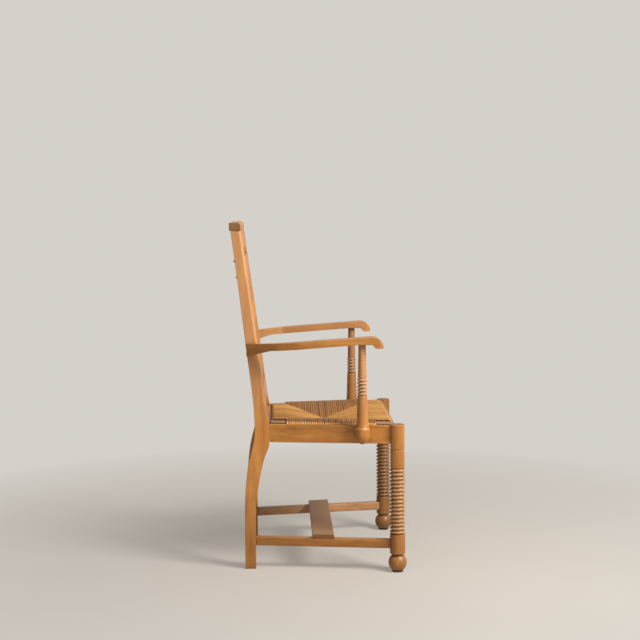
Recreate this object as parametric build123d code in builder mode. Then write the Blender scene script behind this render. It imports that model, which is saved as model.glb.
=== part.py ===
import os
from math import atan2, cos, degrees, hypot, sin, sqrt, tan

from build123d import *

# Rush seat armchair. Millimetres, +Z up, the chair faces -Y and the sitter's left is +X.
# The origin lies on the floor under the middle of the chair. A setback is measured
# rearward from the axis of the front legs unless the comment says otherwise.

# Overall sizes
front_leg_span = 500.0
rear_width = 404.0
seat_depth = 363.5
fit_gap = 0.15
mortise_gap = 0.25
cut_margin = 1.0

# Turned front legs
leg_top_z = 425.0
leg_radius = 20.4
leg_bead_radius = 22.2
leg_groove_radius = 17.5
leg_bead_count = 17
leg_bead_z = (112.9, 296.9)
leg_shoulder = 4.5
leg_collar_groove_z = 353.2
leg_collar_groove_depth = 1.8
leg_top_rounding = 2.5
ankle_radius = 22.0
ankle_rounding = 3.0
ball_radius = 26.4
ball_flat_radius = 15.0
ball_top_z = 49.0
neck_height = 2.5

# Glides nailed under the front legs
glide_radius = 15.8
glide_height = 4.0
nail_radius = 1.6
nail_length = 20.0
nail_head_radius = 4.0
nail_head_height = 1.4
nail_recess = 1.0

# Sawn rear legs, each one piece from floor to crest, set back from the knee's front face
post_thickness = 36.0
foot_setback = 42.0
foot_depth = 30.9
foot_straight_z = 110.0
shin_z = 205.0
shin_setback = 37.6
shin_rear_z = 250.0
shin_rear_setback = 68.3
calf_z = 299.0
calf_setback = 21.0
calf_rear_z = 305.0
calf_rear_setback = 60.4
hollow_z = 334.0
hollow_setback = 10.5
knee_z = (371.0, 414.0)
knee_depth = 42.0
knee_rear_z = 402.0
lumbar_z = 461.0
lumbar_setback = 8.0
lumbar_depth = 35.6
lumbar_slope = 0.125
waist_z = 600.0
waist_setback = 24.6
waist_depth = 34.4
shoulder_drop = 196.0
shoulder_setback = 48.6
shoulder_depth = 31.4
post_top_z = 976.0
post_top_setback = 75.4
post_top_depth = 29.2
post_chamfer = 5.0
post_chamfer_fade = 30.0

# Rails between the legs
rail_thickness = 22.0
side_rail_inset = 4.0
apron_z = (369.5, 421.5)
front_apron_setback = 3.5
front_apron_thickness = 20.0
rear_apron_lead = 4.0
rear_apron_thickness = 26.0
apron_rounding = 1.5
stretcher_z = (67.0, 92.0)
stretcher_rounding = 3.0
tenon_thickness = 9.0
tenon_length = 15.0
tenon_shoulder = 5.0
leg_tenon_stop = 4.0
front_tenon_rise = (3.5, 19.5)
side_tenon_rise = (22.5, 40.5)

# Cross stretcher, a flat board laid over the side stretchers
board_width = 62.0
board_thickness = 12.5
board_setback = 180.5
board_rounding = 2.0

# Back rails
crest_height = 22.0
crest_overhang = 1.5
crest_rear_overhang = 3.9
crest_rounding = 8.0
crest_edge_rounding = 2.0
crest_web_height = 50.0
back_rail_thickness = 22.0
back_rail_recess = 1.0
upper_rail_drop = 76.0
upper_rail_height = 75.0
lower_rail_z = (459.0, 514.0)
back_tenon_margin = 8.0
back_tenon_inset = 6.0

# Turned spindles between the lower and upper back rails
spindle_count = 4
spindle_bead_count = 6
spindle_bead_pitch = 10.0
spindle_radius = 13.2
spindle_groove_radius = 10.0
spindle_end_radius = 8.5
spindle_tenon_radius = 5.0
spindle_tenon_length = 12.0

# Pegs and dowels of the back
peg_radius = 3.5
peg_end = 3.0
peg_stop = 4.0
peg_margin = (17.0, 12.0)
peg_inset = 7.5
dowel_radius = 5.0
dowel_length = 32.0
dowel_in_crest = 16.0

# Arms, their rear places set back from the knee's front face
arm_post_inset = 2.0
arm_waist_shift = 16.0
arm_bend_shift = 4.0
arm_bend_width = 24.0
arm_neck_offset = 23.0
arm_neck_width = 11.0
arm_width = 47.0
arm_front_setback = 40.5
arm_top_z = (676.0, 653.5)
arm_bottom_z = (655.0, 637.4)
arm_haunch_z = 618.5
arm_haunch_setback = -6.5
arm_waist_setback = -119.7
arm_bend_setback = -42.7
arm_neck_setback = 17.3
arm_lap_setback = 31.3
arm_end_setback = 63.0
arm_end_thickness = 9.0
scroll_z = 644.5
scroll_length = 30.0
scroll_foot = 22.0
scroll_notch = 9.0
arm_corner_rounding = 12.0

# Turned arm posts, lapped on the outside of the side aprons
arm_post_standoff = 18.0
arm_post_setback = 100.0
arm_post_bottom_rise = 2.0
arm_post_dome = 27.0
arm_post_flat = 6.0
arm_post_block_drop = 7.5
arm_post_block_radius = 21.4
arm_post_flare = 6.5
arm_post_ring_radius = 17.7
arm_post_ring_height = 3.0
arm_post_step = 3.5
arm_post_lower_radius = 16.6
arm_post_neck_radius = 13.9
arm_post_bead_z = (512.5, 557.3)
arm_post_bead_count = 5
arm_post_bead_radius = 14.6
arm_post_groove_radius = 11.0
arm_post_collar_radius = 12.3
arm_post_top_radius = 10.3
arm_post_tenon_radius = 6.0
arm_post_tenon_length = 12.0

# Rush seat on its own loose frame, dropped into rebates of the aprons
strand = 4.5
seat_bar_thickness = 7.5
seat_bar_rounding = 2.0
seat_rebate_depth = 9.0
seat_side_lip = 10.0
seat_side_width = 48.0
seat_leg_clear = 1.0
seat_front_setback = 9.5
seat_front_width = 45.0
seat_rear_gap = 5.0
seat_rear_width = 40.0
seat_tongue = 12.0
seat_tongue_thickness = 3.0
rush_gap = 0.3
rush_dish_depth = 20.5
rush_dish_margin = 0.2
rush_belly_depth = 18.5

# Screws
screw_radius = 2.5
screw_head_radius = 4.6
screw_head_height = 3.0
arm_screw_bite = 14.0
arm_screw_rise = 20.0
arm_screw_setback = 44.5
post_screw_bite = 12.0
post_screw_rise = (20.5, 35.5)
board_screw_cover = 2.5
board_screw_margin = 15.0
board_screw_recess = 8.0

# Worked-out places
overall_depth = ball_radius + seat_depth + post_top_setback + post_top_depth + crest_rear_overhang
front_leg_x = front_leg_span / 2
front_leg_y = ball_radius - overall_depth / 2
rear_outer_x = rear_width / 2
rear_inner_x = rear_outer_x - post_thickness
rear_mid_x = rear_outer_x - post_thickness / 2
knee_y = front_leg_y + seat_depth
foot_y = knee_y + foot_setback
side_front_x = front_leg_x - side_rail_inset
side_rear_x = rear_outer_x - rail_thickness / 2
side_angle = atan2(side_front_x - side_rear_x, seat_depth)
ankle_z = ball_top_z + neck_height
front_tenon_z = (apron_z[0] + front_tenon_rise[0], apron_z[0] + front_tenon_rise[1])
side_tenon_z = (apron_z[0] + side_tenon_rise[0], apron_z[0] + side_tenon_rise[1])
post_screw_z = (apron_z[0] + post_screw_rise[0], apron_z[0] + post_screw_rise[1])
arm_post_bottom_z = apron_z[0] + arm_post_bottom_rise
arm_post_block_z = apron_z[1] - arm_post_block_drop
seat_ledge_z = apron_z[1] - seat_rebate_depth
bar_z = seat_ledge_z + strand
bar_top_z = bar_z + seat_bar_thickness
rush_top_z = bar_top_z + strand
rush_front_y = front_leg_y + seat_front_setback
rush_rear_y = knee_y - seat_rear_gap
front_bar_y = (rush_front_y + strand, rush_front_y + strand + seat_front_width)
rear_bar_y = (rush_rear_y - strand - seat_rear_width, rush_rear_y - strand)
side_bar_outer = rail_thickness / 2 - seat_side_lip - rush_gap - strand
side_bar_offset = (side_bar_outer - seat_side_width, side_bar_outer)
front_apron_y = front_leg_y + front_apron_setback
front_apron_rear_y = front_apron_y + front_apron_thickness
rear_apron_y = knee_y - rear_apron_lead
board_y = front_leg_y + board_setback
arm_post_y = front_leg_y + arm_post_setback
apron_post_x = side_front_x - tan(side_angle) * arm_post_setback
arm_post_x = apron_post_x + rail_thickness / 2 / cos(side_angle) + arm_post_standoff
arm_x = arm_post_x + arm_post_inset
arm_bend_x = arm_x + arm_bend_shift
arm_neck_x = rear_outer_x + arm_neck_offset
crest_rear_y = overall_depth / 2
crest_depth = post_top_depth + crest_rear_overhang
crest_z = post_top_z - crest_web_height
shoulder_z = post_top_z - shoulder_drop
upper_rail_top_z = post_top_z - upper_rail_drop
upper_rail_z = (upper_rail_top_z - upper_rail_height, upper_rail_top_z)
peg_z = (upper_rail_z[0] + peg_margin[0], upper_rail_z[1] - peg_margin[1])
arm_screw_z = arm_haunch_z + arm_screw_rise
arm_screw_length = post_thickness + arm_screw_bite
post_screw_length = rail_thickness + post_screw_bite
board_screw_reach = stretcher_z[1] - stretcher_z[0] - board_screw_recess
board_screw_length = board_screw_reach + board_thickness - board_screw_cover
SIDES = {"right": -1, "left": 1}

os.makedirs("parts", exist_ok=True)


def save(part, name):
    """Label a finished piece and write it to its own file."""
    part.label = name
    export_step(part, f"parts/{name}.step")


def side_point(side, y, offset):
    """Plan point at depth y, offset outward from the middle line of a side rail."""
    x = side_front_x - tan(side_angle) * (y - front_leg_y) + offset / cos(side_angle)
    return side * x, y


def along_side(side, y, offset, distance):
    """Plan point a distance rearward, parallel to a side rail, from its point at depth y."""
    x, start_y = side_point(side, y, offset)
    return x - side * distance * sin(side_angle), start_y + distance * cos(side_angle)


def post_front(z):
    """Y of the rear legs' front face above the seat."""
    places = (
        (knee_z[1], 0.0),
        (lumbar_z, lumbar_setback),
        (waist_z, waist_setback),
        (shoulder_z, shoulder_setback),
        (post_top_z, post_top_setback),
    )
    spans = list(zip(places, places[1:]))
    (z0, s0), (z1, s1) = next((span for span in spans if z <= span[1][0]), spans[-1])
    return knee_y + s0 + (s1 - s0) * (z - z0) / (z1 - z0)


def post_rear(z):
    """Y of the rear legs' rear face between shoulder and crest."""
    share = (z - shoulder_z) / (post_top_z - shoulder_z)
    return post_front(z) + shoulder_depth + (post_top_depth - shoulder_depth) * share


def turning(x, y, z=0.0, lean=0.0):
    """Profile plane (radius, height) and axis of a turned piece that leans rearward."""
    up = (0.0, sin(lean), cos(lean))
    outward = (0.0, -cos(lean), sin(lean))
    return Plane(origin=(x, y, z), x_dir=(1, 0, 0), z_dir=outward), Axis((x, y, z), up)


def quarter_round(start, corner, end):
    """Draw the quarter circle from start to end inside the corner they share."""
    centre = Vector(*start) + Vector(*end) - Vector(*corner)
    middle = centre + (Vector(*corner) - centre) / sqrt(2)
    ThreePointArc(start, middle, end)


def beads(span, count, groove, peak):
    """Draw round beads with hollows of the same height between them, upward between two heights."""
    step = (span[1] - span[0]) / (2 * count - 1)
    waist = (groove + peak) / 2
    for i in range(2 * count - 1):
        low = span[0] + i * step
        tip = groove if i % 2 else peak
        ThreePointArc((waist, low), (tip, low + step / 2), (waist, low + step))


def bead_shoulder(outer, groove, peak, start, end):
    """Draw the notch between a plain round and the bead next to it, from one height to the other."""
    waist = (groove + peak) / 2
    Polyline((outer, start), (groove, (start + end) / 2), (waist, end))


def plan_prism(points, z_range):
    """Upright prism over a plan outline."""
    with BuildPart() as prism:
        with BuildSketch(Plane.XY.offset(z_range[0])):
            with BuildLine():
                Polyline(*points, close=True)
            make_face()
        extrude(amount=z_range[1] - z_range[0])
    return prism.part


def side_bar(side, y_range, offsets, z_range, grow=0.0):
    """Bar that runs with a side rail between two depths, its ends square to the chair."""
    points = (
        side_point(side, y_range[0] - grow, offsets[0] - grow),
        side_point(side, y_range[0] - grow, offsets[1] + grow),
        side_point(side, y_range[1] + grow, offsets[1] + grow),
        side_point(side, y_range[1] + grow, offsets[0] - grow),
    )
    return plan_prism(points, (z_range[0] - grow, z_range[1] + grow))


def side_tenon(side, y, z_range, reach, grow=0.0):
    """Tenon of a side rail from its shoulder at depth y, a little inside the rail as well."""
    half = tenon_thickness / 2 + grow
    near, far = sorted((-reach, reach))
    points = (
        along_side(side, y, -half, near - grow),
        along_side(side, y, half, near - grow),
        along_side(side, y, half, far + grow),
        along_side(side, y, -half, far + grow),
    )
    return plan_prism(points, (z_range[0] - grow, z_range[1] + grow))


def side_tenons(side, grow=0.0):
    """Tenons of one side: apron and stretcher, front and rear, grown to make mortises."""
    low = (stretcher_z[0] + tenon_shoulder, stretcher_z[1] - tenon_shoulder)
    front_y = front_leg_y + leg_tenon_stop + leg_radius
    return {
        "apron_front": side_tenon(side, front_y, side_tenon_z, leg_radius, grow),
        "apron_rear": side_tenon(side, knee_y, side_tenon_z, tenon_length, grow),
        "stretcher_front": side_tenon(side, front_y, low, leg_radius, grow),
        "stretcher_rear": side_tenon(side, foot_y, low, tenon_length, grow),
    }


def cross_bar(y_range, z_range, half_length, grow=0.0):
    """Level bar across the chair, used for the end aprons and their tenons."""
    with BuildPart() as bar:
        with BuildSketch(Plane.YZ.offset(-half_length - grow)):
            with Locations(((y_range[0] + y_range[1]) / 2, (z_range[0] + z_range[1]) / 2)):
                Rectangle(y_range[1] - y_range[0] + 2 * grow, z_range[1] - z_range[0] + 2 * grow)
        extrude(amount=2 * (half_length + grow))
    return bar.part


def back_bar(z_range, inset, margin, half_length, grow=0.0):
    """Bar across the back that leans with the rear legs, inset in depth and height."""
    low = z_range[0] + margin - grow
    high = z_range[1] - margin + grow
    front = back_rail_recess + inset - grow
    rear = back_rail_recess + back_rail_thickness - inset + grow
    with BuildPart() as bar:
        with BuildSketch(Plane.YZ.offset(-half_length - grow)):
            with BuildLine():
                Polyline(
                    (post_front(low) + front, low),
                    (post_front(low) + rear, low),
                    (post_front(high) + rear, high),
                    (post_front(high) + front, high),
                    close=True,
                )
            make_face()
        extrude(amount=2 * (half_length + grow))
    return bar.part


def rod(start, direction, radius, length):
    """Plain round rod from a point along a direction."""
    with BuildPart() as round_bar:
        with BuildSketch(Plane(origin=start, z_dir=direction)):
            Circle(radius)
        extrude(amount=length)
    return round_bar.part


def screw(start, direction, length, grow=0.0):
    """Countersunk screw whose flat head starts at a point, or its hole when grown."""
    head_taper = degrees(atan2(screw_head_radius - screw_radius, screw_head_height))
    with BuildPart() as fastener:
        with BuildSketch(Plane(origin=start, z_dir=direction)):
            Circle(screw_radius + grow)
        extrude(amount=length + grow)
        with BuildSketch(Plane(origin=start, z_dir=direction)):
            Circle(screw_head_radius + grow)
        extrude(amount=screw_head_height, taper=head_taper)
    return fastener.part


def long_edges(part, least):
    """The edges of a bar that run its whole length."""
    return part.edges().filter_by(lambda edge: edge.length > least)


# Fasteners and their holes
def arm_screw(side, grow=0.0):
    start = (side * rear_inner_x, knee_y + arm_screw_setback, arm_screw_z)
    return screw(start, (side, 0, 0), arm_screw_length, grow)


def post_screws(side, grow=0.0):
    """Two screws from inside the side apron into the arm post's block."""
    normal = (side * cos(side_angle), sin(side_angle), 0)
    middle = (arm_post_x * side, arm_post_y)
    line_x = side_point(side, arm_post_y, 0)[0]
    reach = abs(middle[0] - line_x) * cos(side_angle) + rail_thickness / 2
    start = (middle[0] - reach * normal[0], middle[1] - reach * normal[1])
    return [screw((*start, z), normal, post_screw_length, grow) for z in post_screw_z]


def board_screw_places(side, z):
    """Points at a height on a side stretcher's middle line, under the cross stretcher."""
    depths = (board_y + board_screw_margin, board_y + board_width - board_screw_margin)
    return [(*side_point(side, y, 0), z) for y in depths]


def board_screws(side, grow=0.0):
    """Two screws up through a side stretcher into the cross stretcher."""
    places = board_screw_places(side, stretcher_z[0] + board_screw_recess)
    return [screw(place, (0, 0, 1), board_screw_length, grow) for place in places]


def back_pegs(side, grow=0.0):
    """Pegs driven from the rear through a leg and the upper back rail's tenon."""
    pegs = []
    for z in peg_z:
        start = (side * (rear_inner_x + peg_inset), post_rear(z) + peg_end, z)
        length = post_rear(z) + peg_end - post_front(z) - peg_stop
        pegs.append(rod(start, (0, -1, 0), peg_radius + grow, length + grow))
    return pegs


def crest_dowel(side, grow=0.0):
    start_z = post_top_z + dowel_in_crest - dowel_length - grow
    place = (side * rear_mid_x, post_front(post_top_z) + post_top_depth / 2, start_z)
    return rod(place, (0, 0, 1), dowel_radius + grow, dowel_length + 2 * grow)


apron_tenon_y = (
    front_apron_y + (front_apron_thickness - tenon_thickness) / 2,
    front_apron_y + (front_apron_thickness + tenon_thickness) / 2,
)
rear_tenon_y = (
    rear_apron_y + (rear_apron_thickness - tenon_thickness) / 2,
    rear_apron_y + (rear_apron_thickness + tenon_thickness) / 2,
)
front_apron_half = side_point(1, front_apron_rear_y, -rail_thickness / 2)[0] - fit_gap
front_tenon_half = front_leg_x - leg_tenon_stop
back_tenon_half = rear_inner_x + tenon_length


# Front legs
def front_leg(side, mortises):
    plane, axis = turning(side * front_leg_x, front_leg_y)
    bead_foot, bead_top = leg_bead_z
    valley, peak = leg_groove_radius, leg_bead_radius
    collar = leg_collar_groove_z
    groove = leg_collar_groove_depth
    with BuildPart() as leg:
        with BuildSketch(plane):
            with BuildLine():
                Line((0, glide_height), (ball_flat_radius, glide_height))
                ThreePointArc(
                    (ball_flat_radius, glide_height),
                    (ball_radius, (glide_height + ball_top_z) / 2),
                    (ball_flat_radius, ball_top_z),
                )
                Polyline(
                    (ball_flat_radius, ball_top_z),
                    (ball_flat_radius, ankle_z),
                    (ankle_radius - ankle_rounding, ankle_z),
                )
                quarter_round(
                    (ankle_radius - ankle_rounding, ankle_z),
                    (ankle_radius, ankle_z),
                    (ankle_radius, ankle_z + ankle_rounding),
                )
                Line((ankle_radius, ankle_z + ankle_rounding), (ankle_radius, bead_foot - leg_shoulder))
                bead_shoulder(ankle_radius, valley, peak, bead_foot - leg_shoulder, bead_foot)
                beads(leg_bead_z, leg_bead_count, valley, peak)
                bead_shoulder(leg_radius, valley, peak, bead_top + leg_shoulder, bead_top)
                Polyline(
                    (leg_radius, bead_top + leg_shoulder),
                    (leg_radius, collar - groove),
                    (leg_radius - groove, collar),
                    (leg_radius, collar + groove),
                    (leg_radius, leg_top_z - leg_top_rounding),
                )
                quarter_round(
                    (leg_radius, leg_top_z - leg_top_rounding),
                    (leg_radius, leg_top_z),
                    (leg_radius - leg_top_rounding, leg_top_z),
                )
                Polyline(
                    (leg_radius - leg_top_rounding, leg_top_z),
                    (0, leg_top_z),
                    (0, glide_height),
                )
            make_face()
        revolve(axis=axis)
        for cut in mortises:
            add(cut, mode=Mode.SUBTRACT)
    return leg.part


front_apron_mortise = cross_bar(apron_tenon_y, front_tenon_z, front_tenon_half, mortise_gap)
for word, side in SIDES.items():
    cuts = side_tenons(side, mortise_gap)
    nail_place = (side * front_leg_x, front_leg_y, 0)
    nail_hole = rod(nail_place, (0, 0, 1), nail_radius + fit_gap, nail_length + glide_height)
    save(
        front_leg(side, (cuts["apron_front"], cuts["stretcher_front"], front_apron_mortise, nail_hole)),
        f"front_leg_{word}",
    )

leg_places = [(side * front_leg_x, front_leg_y, 0) for side in SIDES.values()]
with BuildPart() as foot_glides:
    with BuildSketch(Plane.XY):
        with Locations(*leg_places):
            Circle(glide_radius)
            Circle(nail_radius + fit_gap, mode=Mode.SUBTRACT)
    extrude(amount=glide_height)
    with BuildSketch(Plane.XY):
        with Locations(*leg_places):
            Circle(nail_head_radius + fit_gap)
    extrude(amount=nail_recess + nail_head_height, mode=Mode.SUBTRACT)
save(foot_glides.part, "front_foot_glides")

with BuildPart() as glide_nails:
    with BuildSketch(Plane.XY.offset(nail_recess)):
        with Locations(*leg_places):
            Circle(nail_head_radius)
    extrude(amount=nail_head_height)
    with BuildSketch(Plane.XY.offset(nail_recess + nail_head_height)):
        with Locations(*leg_places):
            Circle(nail_radius)
    extrude(amount=nail_length)
save(glide_nails.part, "glide_nails")


# Rear legs
def post_chamfer_cut(side):
    """Wedge along the front outer edge of a rear leg, fading out above the seat."""
    widths = (
        (lumbar_z, 0.0),
        (lumbar_z + post_chamfer_fade, post_chamfer),
        (waist_z, post_chamfer),
        (shoulder_z, post_chamfer),
        (post_top_z, post_chamfer),
    )
    with BuildPart() as wedge:
        for z, width in widths:
            edge_y = post_front(z)
            with BuildSketch(Plane.XY.offset(z)):
                with BuildLine():
                    Polyline(
                        (side * (rear_outer_x + cut_margin), edge_y - cut_margin),
                        (side * (rear_outer_x - width - cut_margin), edge_y - cut_margin),
                        (side * (rear_outer_x + cut_margin), edge_y + width + cut_margin),
                        close=True,
                    )
                make_face()
        loft(ruled=True)
    return wedge.part


def rear_leg(side, cuts):
    lumbar_front = (knee_y + lumbar_setback, lumbar_z)
    crest_front = (knee_y + post_top_setback, post_top_z)
    crest_back = (knee_y + post_top_setback + post_top_depth, post_top_z)
    knee_back = (knee_y + knee_depth, knee_rear_z)
    foot_back = (foot_y + foot_depth, foot_straight_z)
    crest_lean = (post_top_setback - shoulder_setback, post_top_z - shoulder_z)
    start_x = -rear_outer_x if side < 0 else rear_inner_x
    with BuildPart() as leg:
        with BuildSketch(Plane.YZ.offset(start_x)):
            with BuildLine():
                Line((foot_y, 0), (foot_y, foot_straight_z))
                Spline(
                    (foot_y, foot_straight_z),
                    (knee_y + shin_setback, shin_z),
                    (knee_y + calf_setback, calf_z),
                    (knee_y + hollow_setback, hollow_z),
                    (knee_y, knee_z[0]),
                    tangents=((0, 1), (0, 1)),
                )
                Line((knee_y, knee_z[0]), (knee_y, knee_z[1]))
                Spline((knee_y, knee_z[1]), lumbar_front, tangents=((0, 1), (lumbar_slope, 1)))
                Spline(
                    lumbar_front,
                    (knee_y + waist_setback, waist_z),
                    (knee_y + shoulder_setback, shoulder_z),
                    crest_front,
                    tangents=((lumbar_slope, 1), crest_lean),
                )
                Line(crest_front, crest_back)
                Spline(
                    crest_back,
                    (knee_y + shoulder_setback + shoulder_depth, shoulder_z),
                    (knee_y + waist_setback + waist_depth, waist_z),
                    (knee_y + lumbar_setback + lumbar_depth, lumbar_z),
                    knee_back,
                    tangents=((-crest_lean[0], -crest_lean[1]), (0, -1)),
                )
                Spline(
                    knee_back,
                    (knee_y + calf_rear_setback, calf_rear_z),
                    (knee_y + shin_rear_setback, shin_rear_z),
                    foot_back,
                    tangents=((0, -1), (0, -1)),
                )
                Polyline(foot_back, (foot_y + foot_depth, 0), (foot_y, 0))
            make_face()
        extrude(amount=post_thickness)
        for cut in cuts:
            add(cut, mode=Mode.SUBTRACT)
    return leg.part


shared_cuts = (
    cross_bar(rear_tenon_y, side_tenon_z, back_tenon_half, mortise_gap),
    back_bar(upper_rail_z, back_tenon_inset, back_tenon_margin, back_tenon_half, mortise_gap),
    back_bar(lower_rail_z, back_tenon_inset, back_tenon_margin, back_tenon_half, mortise_gap),
)
for word, side in SIDES.items():
    tenons = side_tenons(side, mortise_gap)
    cuts = (
        *shared_cuts,
        tenons["apron_rear"],
        tenons["stretcher_rear"],
        arm_screw(side, fit_gap),
        crest_dowel(side, fit_gap),
        *back_pegs(side, fit_gap),
        post_chamfer_cut(side),
    )
    save(rear_leg(side, cuts), f"rear_leg_{word}")


# Side aprons and side stretchers
def side_rail(side, y_rear, z_range, rounding, leg_clear, tenons, holes):
    half = rail_thickness / 2
    blank = side_bar(side, (front_leg_y, y_rear), (-half, half), z_range)
    with BuildPart() as rail:
        add(blank)
        fillet(long_edges(rail, seat_depth / 2), rounding)
        with Locations((side * front_leg_x, front_leg_y, (z_range[0] + z_range[1]) / 2)):
            Cylinder(leg_clear, z_range[1] - z_range[0], mode=Mode.SUBTRACT)
        for tenon in tenons:
            add(tenon)
        for hole in holes:
            add(hole, mode=Mode.SUBTRACT)
    return rail.part


for word, side in SIDES.items():
    tenons = side_tenons(side)
    half = rail_thickness / 2
    rebate = side_bar(
        side,
        (front_leg_y, knee_y),
        (-half - cut_margin, half - seat_side_lip),
        (seat_ledge_z, apron_z[1] + cut_margin),
    )
    save(
        side_rail(
            side,
            knee_y,
            apron_z,
            apron_rounding,
            leg_radius + fit_gap,
            (tenons["apron_front"], tenons["apron_rear"]),
            [front_apron_mortise, rebate, *post_screws(side, fit_gap)],
        ),
        f"side_apron_{word}",
    )
    wells = [
        rod(place, (0, 0, 1), screw_head_radius + fit_gap, board_screw_recess)
        for place in board_screw_places(side, stretcher_z[0])
    ]
    save(
        side_rail(
            side,
            foot_y,
            stretcher_z,
            stretcher_rounding,
            ankle_radius + fit_gap,
            (tenons["stretcher_front"], tenons["stretcher_rear"]),
            board_screws(side, fit_gap) + wells,
        ),
        f"side_stretcher_{word}",
    )

# Front and rear aprons
front_apron_blank = cross_bar((front_apron_y, front_apron_rear_y), apron_z, front_apron_half)
front_apron_tenon = cross_bar(apron_tenon_y, front_tenon_z, front_tenon_half)
front_rebate = cross_bar(
    (rush_front_y - rush_gap, front_apron_rear_y + cut_margin),
    (seat_ledge_z, apron_z[1] + cut_margin),
    front_leg_x,
)
with BuildPart() as front_apron:
    add(front_apron_blank)
    fillet(long_edges(front_apron, front_leg_x), apron_rounding)
    with Locations(*((x, y, (apron_z[0] + apron_z[1]) / 2) for x, y, _ in leg_places)):
        Cylinder(leg_radius + fit_gap, apron_z[1] - apron_z[0], mode=Mode.SUBTRACT)
    add(front_rebate, mode=Mode.SUBTRACT)
    add(front_apron_tenon)
save(front_apron.part, "front_apron")

rear_apron_blank = cross_bar((rear_apron_y, rear_apron_y + rear_apron_thickness), apron_z, rear_inner_x)
rear_apron_tenon = cross_bar(rear_tenon_y, side_tenon_z, back_tenon_half)
with BuildPart() as rear_apron:
    add(rear_apron_blank)
    fillet(long_edges(rear_apron, rear_inner_x), apron_rounding)
    add(rear_apron_tenon)
save(rear_apron.part, "rear_apron")

# Cross stretcher
half = rail_thickness / 2
board_holes = [hole for side in SIDES.values() for hole in board_screws(side, fit_gap)]
with BuildPart() as cross_stretcher:
    with BuildSketch(Plane.XY.offset(stretcher_z[1])):
        with BuildLine():
            Polyline(
                side_point(-1, board_y, half),
                side_point(1, board_y, half),
                side_point(1, board_y + board_width, half),
                side_point(-1, board_y + board_width, half),
                close=True,
            )
        make_face()
    extrude(amount=board_thickness)
    fillet(cross_stretcher.faces().sort_by(Axis.Z)[-1].edges(), board_rounding)
    for hole in board_holes:
        add(hole, mode=Mode.SUBTRACT)
save(cross_stretcher.part, "cross_stretcher")


# Back rails, with sockets for the spindles
def spindle_axis(index):
    """Foot, lean and length of one spindle between the lower and upper rails."""
    x = rear_inner_x * (2 * (index + 0.5) / spindle_count - 1) * spindle_count / (spindle_count + 1)
    middle = back_rail_recess + back_rail_thickness / 2
    low_y = post_front(lower_rail_z[1]) + middle
    high_y = post_front(upper_rail_z[0]) + middle
    rise = upper_rail_z[0] - lower_rail_z[1]
    return x, low_y, atan2(high_y - low_y, rise), hypot(high_y - low_y, rise)


def spindle_core(index, grow=0.0):
    """Round tenon that runs the whole spindle and into both rails."""
    x, y, lean, length = spindle_axis(index)
    reach = spindle_tenon_length + grow
    up = Vector(0, sin(lean), cos(lean))
    start = Vector(x, y, lower_rail_z[1]) - up * reach
    return rod(start, up, spindle_tenon_radius + grow, length + 2 * reach)


cores = [spindle_core(index, fit_gap) for index in range(spindle_count)]
peg_holes = [peg for side in SIDES.values() for peg in back_pegs(side, fit_gap)]
rail_blanks = {}
for name, z_range in (("upper_back_rail", upper_rail_z), ("lower_back_rail", lower_rail_z)):
    rail_blanks[name] = back_bar(z_range, 0, 0, rear_inner_x)
    rail_tenon = back_bar(z_range, back_tenon_inset, back_tenon_margin, back_tenon_half)
    with BuildPart() as back_rail:
        add(rail_blanks[name])
        add(rail_tenon)
        for cut in (*cores, *peg_holes):
            add(cut, mode=Mode.SUBTRACT)
    save(back_rail.part, name)


# Spindles, trimmed to the rails they stand between
def spindle(index):
    x, y, lean, length = spindle_axis(index)
    plane, axis = turning(x, y, lower_rail_z[1], lean)
    bead_start = (length - (spindle_bead_count - 1 / 2) * spindle_bead_pitch) / 2
    bead_span = (bead_start, length - bead_start)
    valley, peak = spindle_groove_radius, spindle_radius
    foot_z, head_z = bead_start - leg_shoulder, length - bead_start + leg_shoulder
    core = spindle_core(index)
    with BuildPart() as turned:
        with BuildSketch(plane):
            with BuildLine():
                Polyline(
                    (0, -spindle_tenon_radius),
                    (spindle_end_radius, -spindle_tenon_radius),
                    (spindle_end_radius, 0),
                    (peak, foot_z),
                )
                bead_shoulder(peak, valley, peak, foot_z, bead_span[0])
                beads(bead_span, spindle_bead_count, valley, peak)
                bead_shoulder(peak, valley, peak, head_z, bead_span[1])
                Polyline(
                    (peak, head_z),
                    (spindle_end_radius, length),
                    (spindle_end_radius, length + spindle_tenon_radius),
                    (0, length + spindle_tenon_radius),
                    (0, -spindle_tenon_radius),
                )
            make_face()
        revolve(axis=axis)
        for blank in rail_blanks.values():
            add(blank, mode=Mode.SUBTRACT)
        add(core)
    return turned.part


for index in range(spindle_count):
    save(spindle(index), f"back_spindle_{index + 1}")

# Crest rail: a cap with ears over the post tops and a web between the posts
half_length = rear_outer_x + crest_overhang
dowel_holes = [crest_dowel(side, fit_gap) for side in SIDES.values()]
with BuildPart() as crest_rail:
    with BuildSketch(Plane.YZ.offset(-half_length)):
        with Locations((crest_rear_y - crest_depth / 2, post_top_z + crest_height / 2)):
            Rectangle(crest_depth, crest_height)
    extrude(amount=2 * half_length)
    cap_edges = long_edges(crest_rail, rear_width).sort_by(Axis.Z)
    front_edge = cap_edges[-2:].sort_by(Axis.Y)[0]
    rear_edge = cap_edges[-2:].sort_by(Axis.Y)[-1]
    fillet(front_edge, crest_rounding)
    fillet(rear_edge, crest_edge_rounding)
    with BuildSketch(Plane.YZ.offset(-rear_inner_x)):
        with BuildLine():
            Polyline(
                (post_front(crest_z) + back_rail_recess, crest_z),
                (post_front(crest_z) + back_rail_recess + back_rail_thickness, crest_z),
                (post_front(post_top_z) + back_rail_recess + back_rail_thickness, post_top_z),
                (post_front(post_top_z) + back_rail_recess, post_top_z),
                close=True,
            )
        make_face()
    extrude(amount=2 * rear_inner_x)
    for hole in dowel_holes:
        add(hole, mode=Mode.SUBTRACT)
save(crest_rail.part, "crest_rail")


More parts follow.
